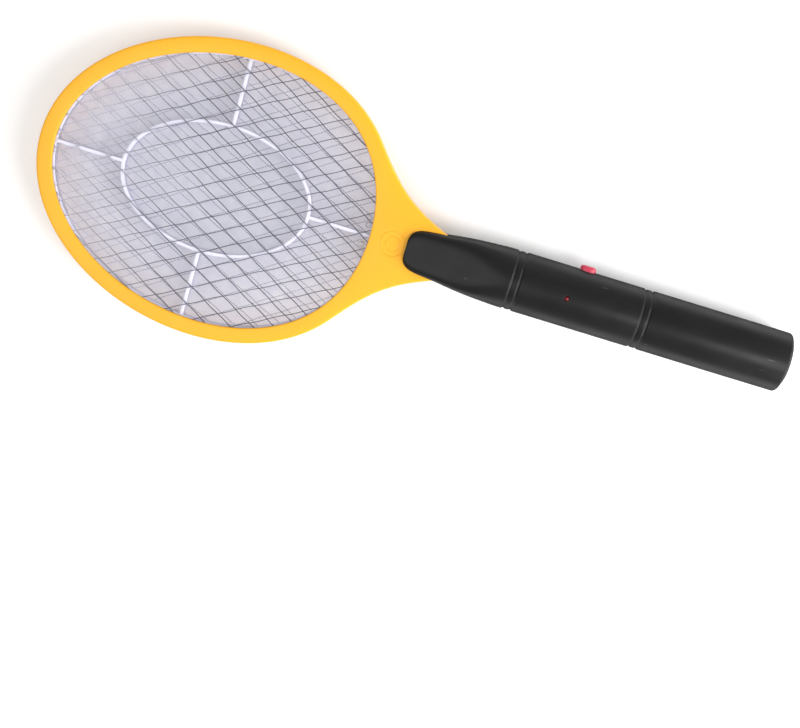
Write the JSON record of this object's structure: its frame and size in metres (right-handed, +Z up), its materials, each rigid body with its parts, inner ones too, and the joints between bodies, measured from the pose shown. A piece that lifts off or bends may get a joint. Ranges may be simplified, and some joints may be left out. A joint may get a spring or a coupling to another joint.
{
  "type": "electric fly swatter",
  "caption": "Racket-shaped electric fly swatter: egg-shaped wire-mesh head in a clamped plastic frame, round handle with side push button and a fold-out charging plug in its underside.",
  "frame": {"origin": "centre of the whole object's box, on the plane that the handle's lowest facet rests on", "axes": "+X from the head to the butt of the handle, +Y towards the push button, +Z up, square to the face of the mesh"},
  "size_m": [0.4846, 0.1852, 0.0383],
  "materials": {
    "yellow_shell": "satin gloss moulded yellow ABS",
    "black_shell": "fine satin moulded near-black ABS",
    "guard_steel": "fine dark steel wire",
    "grid_steel": "bright thin steel wire",
    "white_spacer": "milky white moulded plastic",
    "terminal": "dull tinned eyelet",
    "screw_steel": "zinc plated",
    "red_button": "satin crimson plastic",
    "switch_plastic": "black switch case",
    "plunger_plastic": "white nylon",
    "board": "green laminate",
    "led_red": "red tinted lens",
    "ferrite": "sintered ferrite",
    "winding": "enamelled copper wire",
    "film_capacitor": "dipped brown coating",
    "cell_sleeve": "shrink sleeve",
    "nickel": "nickel plated brass",
    "contact_brass": "spring brass",
    "lead_black": "black insulation",
    "lead_red": "red insulation",
    "lead_brown": "brown insulation"
  },
  "bodies": {
    "swatter": {"head_frame_front": "yellow_shell", "head_frame_back": "yellow_shell", "handle_upper_shell": "black_shell", "handle_lower_shell": "black_shell", "end_cap": "black_shell", "plug_tray": "black_shell", "guard_mesh_front": "guard_steel", "guard_mesh_back": "guard_steel", "high_voltage_grid": "grid_steel", "mesh_spacer_front": "white_spacer", "mesh_spacer_back": "white_spacer", "mesh_terminal_front": "terminal", "mesh_terminal_back": "terminal", "rim_screw_1": "screw_steel", "rim_screw_2": "screw_steel", "rim_screw_3": "screw_steel", "rim_screw_4": "screw_steel", "rim_screw_5": "screw_steel", "neck_screw_1": "screw_steel", "neck_screw_2": "screw_steel", "handle_screw_1": "screw_steel", "handle_screw_2": "screw_steel", "handle_screw_3": "screw_steel", "handle_screw_4": "screw_steel", "handle_screw_5": "screw_steel", "button_spring": "screw_steel", "plug_hinge_pin": "screw_steel", "switch_body": "switch_plastic", "oscillator_transistor": "switch_plastic", "rectifier_diode_1": "switch_plastic", "rectifier_diode_2": "switch_plastic", "circuit_board": "board", "indicator_led": "led_red", "transformer_core": "ferrite", "transformer_winding": "winding", "storage_capacitor": "film_capacitor", "dropper_capacitor": "film_capacitor", "bleed_resistor": "film_capacitor", "battery_cell_1": "cell_sleeve", "battery_cell_2": "cell_sleeve", "battery_link": "nickel", "plug_contact_left": "contact_brass", "plug_contact_right": "contact_brass", "front_mesh_lead": "lead_black", "back_mesh_lead": "lead_black", "battery_lead_negative": "lead_black", "centre_grid_lead": "lead_red", "battery_lead_positive": "lead_red", "plug_lead_left": "lead_brown", "plug_lead_right": "lead_brown"},
    "button": {"push_button": "red_button", "switch_plunger": "plunger_plastic"},
    "plug": {"plug_block": "black_shell", "plug_pin_left": "nickel", "plug_pin_right": "nickel"}
  },
  "joints": [
    {"name": "button_press", "type": "slide", "parent": "swatter", "child": "button", "axis": [0, -1, 0], "range_m": [0, 0.002], "stiffness_N_per_m": 300, "springref_m": -0.001, "deforming": ["button_spring"]},
    {"name": "plug_fold", "type": "hinge", "parent": "swatter", "child": "plug", "pos_m": [0.19835, 0, 0.00691], "axis": [0, -1, 0], "range_deg": [0, 90]}
  ]
}
